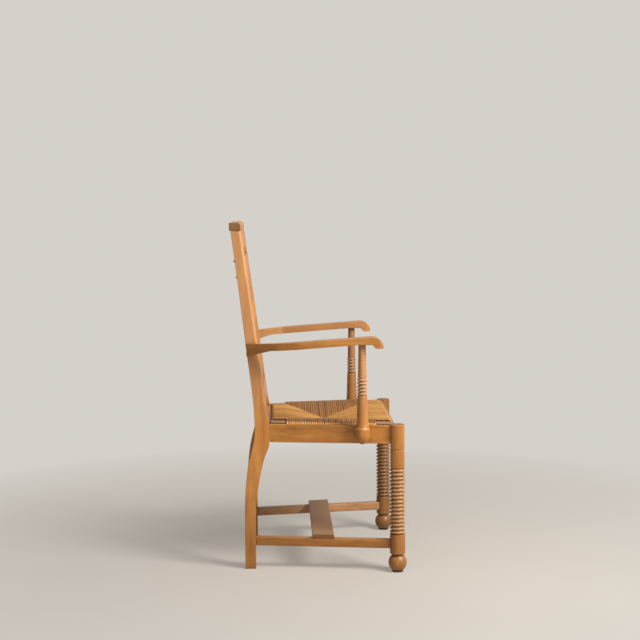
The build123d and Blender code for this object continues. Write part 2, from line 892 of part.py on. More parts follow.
# Arms
def arm(side, cuts):
    tip_y = front_leg_y + arm_front_setback
    end_y = knee_y + arm_end_setback
    haunch_y = knee_y + arm_haunch_setback
    bend_y = knee_y + arm_bend_setback
    neck_y = knee_y + arm_neck_setback
    lap_y = knee_y + arm_lap_setback
    seat_y = arm_post_y + arm_post_top_radius + arm_post_step
    half = arm_width / 2
    crown_y = tip_y + scroll_length
    corner = arm_corner_rounding
    outer_corner = (
        (side * (arm_x + half - corner), tip_y),
        (side * (arm_x + half), tip_y),
        (side * (arm_x + half), tip_y + corner),
    )
    inner_corner = (
        (side * (arm_x - half), tip_y + corner),
        (side * (arm_x - half), tip_y),
        (side * (arm_x - half + corner), tip_y),
    )
    waist = (side * (arm_x + arm_waist_shift), knee_y + arm_waist_setback)
    neck = (side * (arm_neck_x + arm_neck_width), neck_y)
    end = (side * (rear_outer_x + arm_end_thickness), end_y)
    bulge = scroll_length * (1 - 1 / sqrt(2))
    with BuildPart() as piece:
        with BuildSketch(Plane.YZ):
            with BuildLine():
                Line((tip_y, scroll_z), (tip_y + scroll_foot, scroll_z))
                Line((tip_y + scroll_foot, scroll_z), (tip_y + scroll_foot + scroll_notch, arm_bottom_z[0]))
                Line((tip_y + scroll_foot + scroll_notch, arm_bottom_z[0]), (seat_y, arm_bottom_z[0]))
                Line((seat_y, arm_bottom_z[0]), (haunch_y, arm_bottom_z[1]))
                Line((haunch_y, arm_bottom_z[1]), (end_y, arm_haunch_z))
                Line((end_y, arm_haunch_z), (end_y, arm_top_z[1]))
                Line((end_y, arm_top_z[1]), (crown_y, arm_top_z[0]))
                ThreePointArc(
                    (crown_y, arm_top_z[0]),
                    (tip_y + bulge, arm_top_z[0] - bulge),
                    (tip_y, scroll_z),
                )
            make_face()
        extrude(amount=side * (arm_x + arm_width))
        with BuildSketch(Plane.XY.offset(arm_haunch_z)):
            with BuildLine():
                Line(inner_corner[2], outer_corner[0])
                quarter_round(*outer_corner)
                Line(outer_corner[2], waist)
                Spline(
                    waist,
                    (side * arm_bend_x, bend_y),
                    neck,
                    end,
                    tangents=(Vector(*waist) - Vector(*outer_corner[2]), Vector(*end) - Vector(*neck)),
                )
                Line(end, (side * rear_outer_x, end_y))
                Line((side * rear_outer_x, end_y), (side * rear_outer_x, lap_y))
                Line((side * rear_outer_x, lap_y), (side * arm_neck_x, neck_y))
                Line((side * arm_neck_x, neck_y), (side * (arm_bend_x - arm_bend_width), bend_y))
                Line((side * (arm_bend_x - arm_bend_width), bend_y), inner_corner[0])
                quarter_round(*inner_corner)
            make_face()
        extrude(amount=arm_top_z[0] - arm_haunch_z, mode=Mode.INTERSECT)
        for cut in cuts:
            add(cut, mode=Mode.SUBTRACT)
    return piece.part


def arm_post_tenon(side, grow=0.0):
    start = (side * arm_post_x, arm_post_y, arm_bottom_z[0] - arm_post_tenon_length)
    return rod(start, (0, 0, 1), arm_post_tenon_radius + grow, 2 * arm_post_tenon_length + grow)


for word, side in SIDES.items():
    save(arm(side, (arm_post_tenon(side, fit_gap), arm_screw(side, fit_gap))), f"arm_{word}")


# Arm posts
def arm_post(side, trims, tenon):
    plane, axis = turning(side * arm_post_x, arm_post_y)
    block = arm_post_block_radius
    ring = arm_post_ring_radius
    ring_z = arm_post_block_z + arm_post_flare
    shaft_z = ring_z + arm_post_ring_height + arm_post_step
    dome_z = arm_post_bottom_z + arm_post_dome
    bead_foot, bead_top = arm_post_bead_z
    valley, peak = arm_post_groove_radius, arm_post_bead_radius
    with BuildPart() as post:
        with BuildSketch(plane):
            with BuildLine():
                Line((0, arm_post_bottom_z), (arm_post_flat, arm_post_bottom_z))
                TangentArc((block, dome_z), (arm_post_flat, arm_post_bottom_z), tangent=(0, -1))
                Polyline(
                    (block, dome_z),
                    (block, arm_post_block_z),
                    (ring, ring_z),
                    (ring, ring_z + arm_post_ring_height),
                    (arm_post_lower_radius, shaft_z),
                    (arm_post_neck_radius, bead_foot - arm_post_step),
                )
                bead_shoulder(arm_post_neck_radius, valley, peak, bead_foot - arm_post_step, bead_foot)
                beads(arm_post_bead_z, arm_post_bead_count, valley, peak)
                bead_shoulder(arm_post_collar_radius, valley, peak, bead_top + arm_post_step, bead_top)
                Polyline(
                    (arm_post_collar_radius, bead_top + arm_post_step),
                    (arm_post_top_radius, arm_bottom_z[0]),
                    (0, arm_bottom_z[0]),
                    (0, arm_post_bottom_z),
                )
            make_face()
        revolve(axis=axis)
        for trim in trims:
            add(trim, mode=Mode.SUBTRACT)
        add(tenon)
    return post.part


for word, side in SIDES.items():
    apron_blank = side_bar(side, (front_leg_y, knee_y), (-half, half), apron_z)
    above_apron = side_bar(side, (front_leg_y, knee_y), (-half, half), (apron_z[1], rush_top_z))
    trims = (apron_blank, above_apron, *post_screws(side, fit_gap))
    save(arm_post(side, trims, arm_post_tenon(side)), f"arm_post_{word}")


# Seat frame
def seat_tongue_bar(y_range, grow=0.0):
    """Thin bar through a cross bar of the seat frame that leaves a tongue at each end."""
    inner = side_bar_offset[0] + seat_tongue + grow
    middle = bar_z + seat_bar_thickness / 2
    half = seat_tongue_thickness / 2 + grow
    inset = (y_range[1] - y_range[0]) / 4 - grow
    points = (
        side_point(-1, y_range[0] + inset, inner),
        side_point(1, y_range[0] + inset, inner),
        side_point(1, y_range[1] - inset, inner),
        side_point(-1, y_range[1] - inset, inner),
    )
    return plan_prism(points, (middle - half, middle + half))


def seat_cross_bar(y_range, grow=0.0):
    """Cross bar of the seat frame, from one side bar to the other."""
    inner = side_bar_offset[0]
    points = (
        side_point(-1, y_range[0] - grow, inner),
        side_point(1, y_range[0] - grow, inner),
        side_point(1, y_range[1] + grow, inner),
        side_point(-1, y_range[1] + grow, inner),
    )
    return plan_prism(points, (bar_z - grow, bar_top_z + grow))


bars = {"seat_frame_front": front_bar_y, "seat_frame_rear": rear_bar_y}
for name, y_range in bars.items():
    bar_blank = seat_cross_bar(y_range)
    tongue = seat_tongue_bar(y_range)
    with BuildPart() as seat_bar:
        add(bar_blank)
        fillet(long_edges(seat_bar, rear_inner_x), seat_bar_rounding)
        add(tongue)
    save(seat_bar.part, name)

slots = [seat_tongue_bar(y_range, fit_gap) for y_range in bars.values()]
for word, side in SIDES.items():
    bar_blank = side_bar(side, (rush_front_y, rush_rear_y), side_bar_offset, (bar_z, bar_top_z))
    with BuildPart() as seat_bar:
        add(bar_blank)
        fillet(long_edges(seat_bar, seat_depth / 2), seat_bar_rounding)
        for slot in slots:
            add(slot, mode=Mode.SUBTRACT)
        with Locations((side * front_leg_x, front_leg_y, bar_z + seat_bar_thickness / 2)):
            Cylinder(leg_radius + seat_leg_clear, seat_bar_thickness, mode=Mode.SUBTRACT)
    save(seat_bar.part, f"seat_frame_{word}")

# Rush seat: wound over the four bars, bare at the corners, worn down into a dish
inner = side_bar_offset[0] - rush_gap
outer = side_bar_offset[1] + strand
wrap_y = (front_bar_y[1] + rush_gap, rear_bar_y[0] - rush_gap)
centre_y = (wrap_y[0] + wrap_y[1]) / 2
rush_dish_radius = (wrap_y[1] - wrap_y[0]) / 2 - rush_dish_margin
dish_sphere_radius = (rush_dish_radius**2 + rush_dish_depth**2) / (2 * rush_dish_depth)


def rush_outline(y_range, edge):
    return (
        side_point(-1, y_range[0], edge),
        side_point(1, y_range[0], edge),
        side_point(1, y_range[1], edge),
        side_point(-1, y_range[1], edge),
    )


rush_z = (seat_ledge_z, rush_top_z)
rush_body = plan_prism(rush_outline((rush_front_y, rush_rear_y), inner), rush_z)
rush_sides = plan_prism(rush_outline(wrap_y, outer), rush_z)
rush_belly = plan_prism(rush_outline(wrap_y, inner), (seat_ledge_z - rush_belly_depth, bar_top_z))
pockets = [seat_cross_bar(y_range, rush_gap) for y_range in bars.values()]
for side in SIDES.values():
    side_pocket = side_bar(side, (rush_front_y, rush_rear_y), side_bar_offset, (bar_z, bar_top_z), rush_gap)
    pockets.append(side_pocket)
with BuildPart() as rush_seat:
    add(rush_body)
    add(rush_sides)
    add(rush_belly)
    for pocket in pockets:
        add(pocket, mode=Mode.SUBTRACT)
    with Locations((0, centre_y, rush_top_z - rush_dish_depth + dish_sphere_radius)):
        Sphere(dish_sphere_radius, mode=Mode.SUBTRACT)
save(rush_seat.part, "rush_seat")

# Fasteners, each kind as one group of separate solids
groups = {
    "back_pegs": [peg for side in SIDES.values() for peg in back_pegs(side)],
    "crest_dowels": [crest_dowel(side) for side in SIDES.values()],
    "arm_screws": [arm_screw(side) for side in SIDES.values()],
    "arm_post_screws": [piece for side in SIDES.values() for piece in post_screws(side)],
    "cross_stretcher_screws": [piece for side in SIDES.values() for piece in board_screws(side)],
}
for name, pieces in groups.items():
    with BuildPart() as group:
        for piece in pieces:
            add(piece)
    save(group.part, name)
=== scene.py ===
"""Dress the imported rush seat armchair: oak, woven rush, glides, light and camera.

Metres, +Z up, the chair faces -Y and the camera looks along +X at the chair's right side.
"""

import math

import bpy
import numpy as np
from mathutils import Matrix, Vector


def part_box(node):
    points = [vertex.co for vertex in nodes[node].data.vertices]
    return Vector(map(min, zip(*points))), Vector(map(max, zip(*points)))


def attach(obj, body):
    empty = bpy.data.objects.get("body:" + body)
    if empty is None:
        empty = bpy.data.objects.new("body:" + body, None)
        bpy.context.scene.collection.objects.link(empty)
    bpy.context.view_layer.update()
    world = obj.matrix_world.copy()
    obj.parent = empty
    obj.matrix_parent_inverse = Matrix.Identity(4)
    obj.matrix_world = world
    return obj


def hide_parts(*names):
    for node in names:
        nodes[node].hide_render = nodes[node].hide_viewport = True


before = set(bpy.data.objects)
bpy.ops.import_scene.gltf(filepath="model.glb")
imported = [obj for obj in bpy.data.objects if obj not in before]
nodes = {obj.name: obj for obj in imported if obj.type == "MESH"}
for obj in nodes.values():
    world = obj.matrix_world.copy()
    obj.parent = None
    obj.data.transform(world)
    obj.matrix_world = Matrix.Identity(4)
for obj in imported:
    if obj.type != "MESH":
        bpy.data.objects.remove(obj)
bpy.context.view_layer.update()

# Camera, fitted to the photograph
camera_place = Vector((-3.9556, 0.1194, 1.0399))
camera_yaw = math.radians(-1.927)
camera_pitch = math.radians(4.871)
camera_roll = math.radians(-0.409)
camera_lens = 74.4
camera_sensor = 36.0

# Rush strands
strand_pitch = 0.0064
strand_thickness = 0.0043
strand_lap = 1.06
strand_lay = 0.017
strand_lobe = 0.08
strand_step = 0.0035
strand_sides = 8
strand_least_rings = 8
strand_seed = 7
strand_jitter = 0.0004
strand_width_spread = (0.94, 1.06)
strand_map_side = 0.0026
strand_map_shift = 5.0
bar_edge_radius = 0.0042
end_field_raise = 0.0010
dish_depth = 0.0245
belly_depth = 0.0185
dish_power = 1.15
dive_depth = 0.009
dive_length = 0.003
run_points = 24
turn_points = 13

# Places on the seat, offsets measured outward from the middle line of a side apron
apron_half = 0.011
side_apron_inset = 0.004
bar_outer_offset = -0.0038
bar_inner_offset = -0.0518
seam_crossing_shift = 0.013

# Beaded lengths of the turned pieces: heights, then groove and bead radius
leg_beads = ((0.1129, 0.2969), (0.0175, 0.0222))
arm_post_beads = ((0.5125, 0.5573), (0.0110, 0.0146))

# Stage and light
floor_radius = 14.0
floor_fade = (0.40, 1.8)
floor_veil = 0.38
floor_glow = (0.63, 0.575, 0.505)
floor_colour = (0.54, 0.51, 0.475)
floor_noise = (2.2, 4.0, 0.6)
floor_stops = (0.3, 0.7)
floor_tint = 0.94
floor_roughness = 0.75
backdrop_colour = (0.66, 0.635, 0.59)
fill_colour = (1.0, 0.97, 0.93)
fill_strength = 0.20
LAMPS = {
    "key": {
        "place": (-1.35, -1.75, 2.1),
        "target": (0.0, 0.0, 0.75),
        "size": 1.0,
        "power": 112.0,
        "colour": (1.0, 0.965, 0.91),
    },
    "front": {
        "place": (-3.3, -1.2, 0.95),
        "target": (0.0, -0.1, 0.4),
        "size": 0.9,
        "power": 8.0,
        "colour": (1.0, 0.96, 0.92),
    },
    "overhead": {
        "place": (-1.2, 0.4, 3.6),
        "target": (0.0, 0.0, 0.4),
        "size": 2.6,
        "power": 20.0,
        "colour": (1.0, 0.98, 0.95),
    },
}

# Shader graphs
surface_samples = 6


class Shader:
    """A material whose nodes are added one call at a time."""

    def __init__(self, name):
        self.material = bpy.data.materials.new(name)
        self.material.use_nodes = True
        self.tree = self.material.node_tree
        self.tree.nodes.clear()

    def node(self, kind, sockets=None, **settings):
        """Add a node, set its properties, and fill or link its sockets."""
        made = self.tree.nodes.new(kind)
        for key, value in settings.items():
            setattr(made, key, value)
        for key, value in (sockets or {}).items():
            if isinstance(value, bpy.types.NodeSocket):
                self.tree.links.new(value, made.inputs[key])
            else:
                made.inputs[key].default_value = value
        return made

    def ramp(self, factor, places, colours):
        """Colour ramp through colours at places."""
        made = self.node("ShaderNodeValToRGB", {"Fac": factor})
        bands = made.color_ramp.elements
        while len(bands) < len(places):
            bands.new(0.5)
        for band, place, colour in zip(bands, places, colours):
            band.position = place
            band.color = (*colour, 1.0)
        return made.outputs["Color"]

    def span(self, factor, low, high, to_low=0.0, to_high=1.0):
        """Map a range of values to another, clamped."""
        made = self.node(
            "ShaderNodeMapRange",
            {"Value": factor, "From Min": low, "From Max": high, "To Min": to_low, "To Max": to_high},
        )
        return made.outputs["Result"]

    def mix(self, factor, first, second):
        """Mix two colours."""
        made = self.node("ShaderNodeMix", data_type="RGBA")
        for socket, value in ((made.inputs[0], factor), (made.inputs[6], first), (made.inputs[7], second)):
            if isinstance(value, bpy.types.NodeSocket):
                self.tree.links.new(value, socket)
            else:
                socket.default_value = value if isinstance(value, float) else (*value, 1.0)
        return made.outputs[2]

    def math(self, operation, first, second=0.5):
        """One step of arithmetic."""
        made = self.node("ShaderNodeMath", {0: first, 1: second}, operation=operation)
        return made.outputs["Value"]

    def noise(self, vector, scale, detail=4.0, roughness=0.55, distortion=0.0):
        """Fractal noise value."""
        made = self.node(
            "ShaderNodeTexNoise",
            {
                "Vector": vector,
                "Scale": scale,
                "Detail": detail,
                "Roughness": roughness,
                "Distortion": distortion,
            },
        )
        return made.outputs["Fac"]

    def bump(self, height, strength, depth, normal=None):
        """Fine relief, over an eased normal where one is given."""
        sockets = {"Height": height, "Strength": strength, "Distance": depth}
        if normal:
            sockets["Normal"] = normal
        return self.node("ShaderNodeBump", sockets).outputs["Normal"]

    def finish(self, surface):
        """Send a shader to the output and return the material."""
        self.node("ShaderNodeOutputMaterial", {"Surface": surface})
        return self.material


# Oak: colours, then the noises as scale, detail, roughness and distortion
OAK = ((0.28, 0.100, 0.016), (0.46, 0.182, 0.032), (0.60, 0.270, 0.062))
PALE = ((0.31, 0.142, 0.050), (0.51, 0.258, 0.105), (0.65, 0.355, 0.155))
BARE = ((0.085, 0.048, 0.026), (0.140, 0.085, 0.050), (0.200, 0.130, 0.080))
# Dark brown for dirt and for painted shade
oak_dirt_and_shade = (0.085, 0.032, 0.008)
oak_worn = (0.70, 0.38, 0.14)
oak_end_grain = (0.135, 0.072, 0.026)
# Dust colour for tops, which also paints on them the pale sheen of the room
oak_dust_and_sky_sheen = (0.34, 0.192, 0.098)
# Paler colour for rubbed bead crests, partly a painted highlight
oak_bead_wear_and_highlight = (0.58, 0.34, 0.185)
# Paler colour mixed in towards the top of tall pieces
oak_paler_up = (0.47, 0.245, 0.115)
grain_stretch = 0.07
GRAIN_SCALE = {
    "x": (grain_stretch, 1.0, 1.0),
    "y": (1.0, grain_stretch, 1.0),
    "z": (1.0, 1.0, grain_stretch),
}
grain_shift = (0.37, 0.61, 0.23)
grain_stops = (0.28, 0.5, 0.72)
figure_noise = (26.0, 3.0, 0.5, 0.9)
figure_share = 0.55
streak_noise = (130.0, 5.0, 0.6, 0.25)
streak_share = 0.45
pore_noise = (620.0, 3.0, 0.65)
pore_edge = (0.36, 0.46)
pore_share = 0.35
blotch_noise = (9.0, 2.0, 0.5)
blotch_share = 0.35
top_facing = (0.6, 0.95)
end_facing = (0.75, 0.97)
end_share = 0.75
# Painted shade towards the floor: heights over which it fades out, and its strength
low_shade_heights = (0.02, 0.34)
low_shade_share = 0.36
paler_up_heights = (0.40, 0.58)
# Hollows: reach and range of the occlusion test, then the patchy range and strengths of dirt and painted
# shade
dirt_and_shade_reach = 0.012
dirt_and_shade_open = (0.30, 0.85)
dirt_and_shade_patch = (0.25, 0.7)
dirt_and_shade_share = (0.45, 0.8)
bead_streak = (0.25, 0.7)
bead_wear_and_highlight = (0.45, 0.85)
edge_radius = 0.0022
edge_facing = (0.985, 0.86)
edge_streak = (0.3, 0.65)
edge_wear = (0.2, 0.45)
edge_open = (0.45, 0.8)
wax_streak = (0.25, 0.75)
wax_roughness = (0.35, 0.50)
wax_gloss = 0.5
wood_relief = 0.22
wood_relief_depth = 0.0008


def bead_peaks(s, place, piece, heights, radii):
    """How far out on the beads of an upright turned piece a point lies, 0 in the grooves."""
    low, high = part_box(piece)
    middle = ((low.x + high.x) / 2, (low.y + high.y) / 2, 0.0)
    offset = s.node("ShaderNodeVectorMath", {0: place, 1: middle}, operation="SUBTRACT").outputs["Vector"]
    parts = s.node("ShaderNodeSeparateXYZ", {"Vector": offset}).outputs
    flat = s.node("ShaderNodeCombineXYZ", {"X": parts["X"], "Y": parts["Y"]}).outputs["Vector"]
    radius = s.node("ShaderNodeVectorMath", {0: flat}, operation="LENGTH").outputs["Value"]
    above = s.math("GREATER_THAN", parts["Z"], heights[0])
    below = s.math("LESS_THAN", parts["Z"], heights[1])
    return s.math("MULTIPLY", s.span(radius, *radii), s.math("MULTIPLY", above, below))


def wood(name, axis, seed, tones=OAK, top_dust_and_sheen=0.3, shade=1.0, paler_up=0.0, beads=None, bead_wear_and_highlight_share=1.0):
    """Waxed timber: grain along one axis, paler upper parts, dull dusty tops with a painted sky sheen, dirt
    and painted shade in hollows, painted shade towards the floor, rubbed beads with a painted highlight, and
    worn edges.
    """
    s = Shader(f"wood_{name}")

    def shaded(colour):
        return tuple(shade * part for part in colour)

    place = s.node("ShaderNodeTexCoord").outputs["Object"]
    shift = tuple(seed * step for step in grain_shift)
    grain = s.node(
        "ShaderNodeMapping", {"Vector": place, "Location": shift, "Scale": GRAIN_SCALE[axis]}
    ).outputs["Vector"]
    figure = s.noise(grain, *figure_noise)
    streaks = s.noise(grain, *streak_noise)
    pores = s.noise(grain, *pore_noise)
    blotch = s.noise(place, *blotch_noise)
    tone = s.math("ADD", s.math("MULTIPLY", figure, figure_share), s.math("MULTIPLY", streaks, streak_share))
    tone = s.math("ADD", tone, s.math("MULTIPLY", s.math("SUBTRACT", blotch, 0.5), blotch_share))
    colour = s.ramp(tone, grain_stops, [shaded(stop) for stop in tones])
    pore_mask = s.span(pores, *pore_edge, 1.0, 0.0)
    colour = s.mix(s.math("MULTIPLY", pore_mask, pore_share), colour, shaded(tones[0]))

    flat = s.node("ShaderNodeNewGeometry").outputs["Normal"]
    faces = s.node("ShaderNodeSeparateXYZ", {"Vector": flat}).outputs
    # Tops take dust and a painted sheen of the pale room, strongest on the board and the bare bars.
    colour = s.mix(s.span(faces["Z"], *top_facing, 0.0, top_dust_and_sheen), colour, oak_dust_and_sky_sheen)
    end_grain = s.math("ABSOLUTE", faces[axis.upper()])
    colour = s.mix(s.span(end_grain, *end_facing, 0.0, end_share), colour, oak_end_grain)

    height = s.node("ShaderNodeSeparateXYZ", {"Vector": place}).outputs["Z"]
    # Painted shade: colours darken towards the floor, where less light reaches.
    colour = s.mix(s.span(height, *low_shade_heights, low_shade_share, 0.0), colour, oak_dirt_and_shade)
    # Colours turn paler towards the top of a piece.
    colour = s.mix(s.span(height, *paler_up_heights, 0.0, paler_up), colour, shaded(oak_paler_up))
    # Hollows darken with patchy dirt and painted shade.
    hollow = s.node(
        "ShaderNodeAmbientOcclusion", {"Distance": dirt_and_shade_reach}, samples=surface_samples
    ).outputs["AO"]
    patchy = s.span(blotch, *dirt_and_shade_patch, *dirt_and_shade_share)
    colour = s.mix(s.math("MULTIPLY", s.span(hollow, *dirt_and_shade_open, 1.0, 0.0), patchy), colour, oak_dirt_and_shade)
    # Bead crests turn paler: rubbed wear and a painted highlight.
    if beads:
        worn_and_lit = s.span(streaks, *bead_streak, *(bead_wear_and_highlight_share * part for part in bead_wear_and_highlight))
        peaks = s.math("MULTIPLY", bead_peaks(s, place, name, *beads), worn_and_lit)
        colour = s.mix(peaks, colour, shaded(oak_bead_wear_and_highlight))

    eased = s.node("ShaderNodeBevel", {"Radius": edge_radius}, samples=surface_samples).outputs["Normal"]
    facing = s.node("ShaderNodeVectorMath", {0: eased, 1: flat}, operation="DOT_PRODUCT").outputs["Value"]
    edge = s.math("MULTIPLY", s.span(facing, *edge_facing), s.span(streaks, *edge_streak, *edge_wear))
    edge = s.math("MULTIPLY", edge, s.span(hollow, *edge_open))
    colour = s.mix(edge, colour, oak_worn)

    relief = s.math("ADD", s.math("MULTIPLY", streaks, 0.5), s.math("MULTIPLY", pores, 0.5))
    skin = s.node(
        "ShaderNodeBsdfPrincipled",
        {
            "Base Color": colour,
            "Roughness": s.span(streaks, *wax_streak, *wax_roughness),
            "Normal": s.bump(relief, wood_relief, wood_relief_depth, eased),
            "Specular IOR Level": s.span(faces["Z"], *top_facing, wax_gloss, wax_gloss * (1.0 - top_dust_and_sheen)),
        },
    )
    return s.finish(skin.outputs["BSDF"])


# Rush: colours, then the shares of what varies along and between strands
RUSH_GOLD = ((0.31, 0.140, 0.032), (0.42, 0.205, 0.052), (0.52, 0.275, 0.082))
# Side fields: browner rush, darkened further with painted shade
RUSH_BROWN_AND_SHADE = ((0.235, 0.100, 0.025), (0.285, 0.124, 0.032), (0.340, 0.154, 0.045))
# Paler colour painted on strand faces turned outward over a side bar, painted light
rush_painted_light = (0.80, 0.40, 0.115)
# Dark colour painted between strands, painted shade
rush_painted_shade = (0.075, 0.032, 0.010)
rush_stops = (0.30, 0.55, 0.80)
strand_share = 0.45
fibre_scale = (900.0, 60.0, 1.0)
fibre_noise = (1.0, 3.0, 0.6)
fibre_share = 0.5
mottle_scale = (8.0, 14.0, 1.0)
mottle_noise = (1.0, 4.0, 0.55)
mottle_share = 0.15
fleck_noise = (260.0, 2.0)
fleck_share = 0.7
lit_turn_facing = (0.45, 0.8)
flank_shade_edge = (0.58, 0.90)
crevice_shade_reach = 0.006
crevice_shade_open = (0.15, 0.75)
crevice_shade_share = 0.75
rush_relief = 0.35
rush_relief_depth = 0.0005
rush_fibre = (0.3, 0.7)
rush_roughness = (0.48, 0.68)
rush_gloss = 0.35


def rush(name, tones, lit_turn_share, flank_shade):
    """Twisted rush: each strand its own tone, painted shade between strands, painted light where it turns
    over a side bar.
    """
    s = Shader(name)
    along = s.node("ShaderNodeUVMap", uv_map="strand").outputs["UV"]
    fibres = s.node("ShaderNodeMapping", {"Vector": along, "Scale": fibre_scale}).outputs["Vector"]
    patches = s.node("ShaderNodeMapping", {"Vector": along, "Scale": mottle_scale}).outputs["Vector"]
    fibre = s.noise(fibres, *fibre_noise)
    mottle = s.noise(patches, *mottle_noise)
    fleck = s.noise(along, *fleck_noise)
    own = s.node("ShaderNodeAttribute", attribute_name="tone").outputs["Fac"]
    tone = s.math("ADD", s.math("MULTIPLY", own, strand_share), s.math("MULTIPLY", fibre, fibre_share))
    tone = s.math("ADD", tone, s.math("MULTIPLY", mottle, mottle_share))
    tone = s.math("ADD", tone, s.math("MULTIPLY", s.math("SUBTRACT", fleck, 0.5), fleck_share))
    colour = s.ramp(tone, rush_stops, tones)

    normal = s.node("ShaderNodeNewGeometry").outputs["Normal"]
    # Painted light: strand faces turned outward over a side bar are painted paler.
    outward = s.math("ABSOLUTE", s.node("ShaderNodeSeparateXYZ", {"Vector": normal}).outputs["X"])
    colour = s.mix(s.span(outward, *lit_turn_facing, 0.0, lit_turn_share), colour, rush_painted_light)
    # Painted shade along the flanks where strands meet
    flank = s.node("ShaderNodeAttribute", attribute_name="flank").outputs["Fac"]
    colour = s.mix(s.span(flank, *flank_shade_edge, 0.0, flank_shade), colour, rush_painted_shade)
    # Painted shade in the crevices between strands
    hollow = s.node(
        "ShaderNodeAmbientOcclusion", {"Distance": crevice_shade_reach}, samples=surface_samples
    ).outputs["AO"]
    colour = s.mix(s.span(hollow, *crevice_shade_open, crevice_shade_share, 0.0), colour, rush_painted_shade)

    skin = s.node(
        "ShaderNodeBsdfPrincipled",
        {
            "Base Color": colour,
            "Roughness": s.span(fibre, *rush_fibre, *rush_roughness),
            "Normal": s.bump(fibre, rush_relief, rush_relief_depth),
            "Specular IOR Level": rush_gloss,
        },
    )
    return s.finish(skin.outputs["BSDF"])


# Plastic and steel
rubbed_detail = (5.0, 0.6)
rubbed_stops = (0.3, 0.7)
rubbed_relief = 0.2
rubbed_relief_depth = 0.0004
rubbed_spread = 0.1


def plain(name, colours, metallic, roughness, scale):
    """Rubbed plastic or steel with a fine uneven surface."""
    s = Shader(name)
    place = s.node("ShaderNodeTexCoord").outputs["Object"]
    grain = s.noise(place, scale, *rubbed_detail)
    skin = s.node(
        "ShaderNodeBsdfPrincipled",
        {
            "Base Color": s.ramp(grain, rubbed_stops, colours),
            "Metallic": metallic,
            "Roughness": s.span(grain, *rubbed_stops, roughness - rubbed_spread, roughness + rubbed_spread),
            "Normal": s.bump(grain, rubbed_relief, rubbed_relief_depth),
        },
    )
    return s.finish(skin.outputs["BSDF"])


# Finish of the rigid pieces, by the way their grain runs
GRAIN = {
    "x": ("front_apron", "rear_apron", "crest_rail", "upper_back_rail", "lower_back_rail", "cross_stretcher"),
    "y": (
        "side_apron_left",
        "side_apron_right",
        "side_stretcher_left",
        "side_stretcher_right",
        "arm_left",
        "arm_right",
        "back_pegs",
    ),
    "z": (
        "front_leg_left",
        "front_leg_right",
        "rear_leg_left",
        "rear_leg_right",
        "arm_post_left",
        "arm_post_right",
        "back_spindle_1",
        "back_spindle_2",
        "back_spindle_3",
        "back_spindle_4",
        "crest_dowels",
    ),
}
BARE_BARS = {
    "seat_frame_front": "x",
    "seat_frame_rear": "x",
    "seat_frame_left": "y",
    "seat_frame_right": "y",
}


def coat(piece, material):
    """Give a whole piece one material."""
    piece.data.materials.clear()
    piece.data.materials.append(material)


# shade scales a piece's colours: partly its own tone, partly painted shade or light, darkest on the far-side
# turned pieces
SPECIAL = {
    "cross_stretcher": {"top_dust_and_sheen": 0.85},
    "front_leg_left": {"shade": 0.57, "beads": leg_beads, "bead_wear_and_highlight_share": 0.4},
    "front_leg_right": {"shade": 0.87, "beads": leg_beads, "bead_wear_and_highlight_share": 0.95},
    "rear_leg_left": {"shade": 1.06, "paler_up": 0.6},
    "rear_leg_right": {"shade": 1.06, "paler_up": 0.6},
    "side_stretcher_left": {"tones": PALE},
    "arm_left": {"shade": 0.86, "paler_up": 0.35},
    "arm_right": {"shade": 0.88},
    "arm_post_left": {"shade": 0.64, "paler_up": 0.5, "beads": arm_post_beads},
    "arm_post_right": {"paler_up": 0.5, "beads": arm_post_beads},
}
seed = 0
for axis, names in GRAIN.items():
    for name in names:
        seed += 1
        coat(nodes[name], wood(name, axis, seed, **SPECIAL.get(name, {})))
# Bare seat bars, with dust and painted sheen on their tops
for name, axis in BARE_BARS.items():
    seed += 1
    coat(nodes[name], wood(name, axis, seed, tones=BARE, top_dust_and_sheen=0.8))
glide_black = plain(
    "glide_black",
    ((0.010, 0.010, 0.010), (0.030, 0.029, 0.028)),
    metallic=0.0,
    roughness=0.55,
    scale=900.0,
)
steel = plain(
    "steel",
    ((0.34, 0.33, 0.32), (0.52, 0.51, 0.49)),
    metallic=1.0,
    roughness=0.38,
    scale=1400.0,
)
coat(nodes["front_foot_glides"], glide_black)
for name in ("arm_post_screws", "arm_screws", "cross_stretcher_screws", "glide_nails"):
    coat(nodes[name], steel)


# Rush seat
front_leg_low, front_leg_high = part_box("front_leg_left")
rear_leg_low, rear_leg_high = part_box("rear_leg_left")
front_bar_low, front_bar_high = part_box("seat_frame_front")
rear_bar_low, rear_bar_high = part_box("seat_frame_rear")
leg_y = (front_leg_low.y + front_leg_high.y) / 2
side_front_x = (front_leg_low.x + front_leg_high.x) / 2 - side_apron_inset
side_rear_x = rear_leg_high.x - apron_half
side_slope = (side_front_x - side_rear_x) / (rear_leg_low.y - leg_y)
side_slant = math.hypot(1.0, side_slope)
bar_top = front_bar_high.z
bar_bottom = front_bar_low.z
opening_front = front_bar_high.y
opening_rear = rear_bar_low.y
opening_middle = (opening_front + opening_rear) / 2 + seam_crossing_shift
rng = np.random.default_rng(strand_seed)


def side_x(y, offset):
    """Half width of the seat at a depth, offset outward from the side apron's middle line."""
    return side_front_x - side_slope * (y - leg_y) + offset * side_slant


def seam_share(y):
    """How far along its corner seam a strand ends: 0 at a corner, 1 at the middle."""
    if y < opening_middle:
        return (y - opening_front) / (opening_middle - opening_front)
    return (opening_rear - y) / (opening_rear - opening_middle)


def corner_x(y):
    """Half width at the front or rear corner nearest to a depth."""
    return side_x(opening_front if y < opening_middle else opening_rear, bar_inner_offset)


def end_seam_y(share, front):
    """Depth at which a front or rear strand, a share of the half width out, meets its seam."""
    edge = opening_front if front else opening_rear
    width = side_x(edge, bar_inner_offset)
    steep = width / (opening_middle - edge)
    start = side_x(0.0, bar_inner_offset)
    return (steep * opening_middle - share * start) / (steep - share * side_slope)


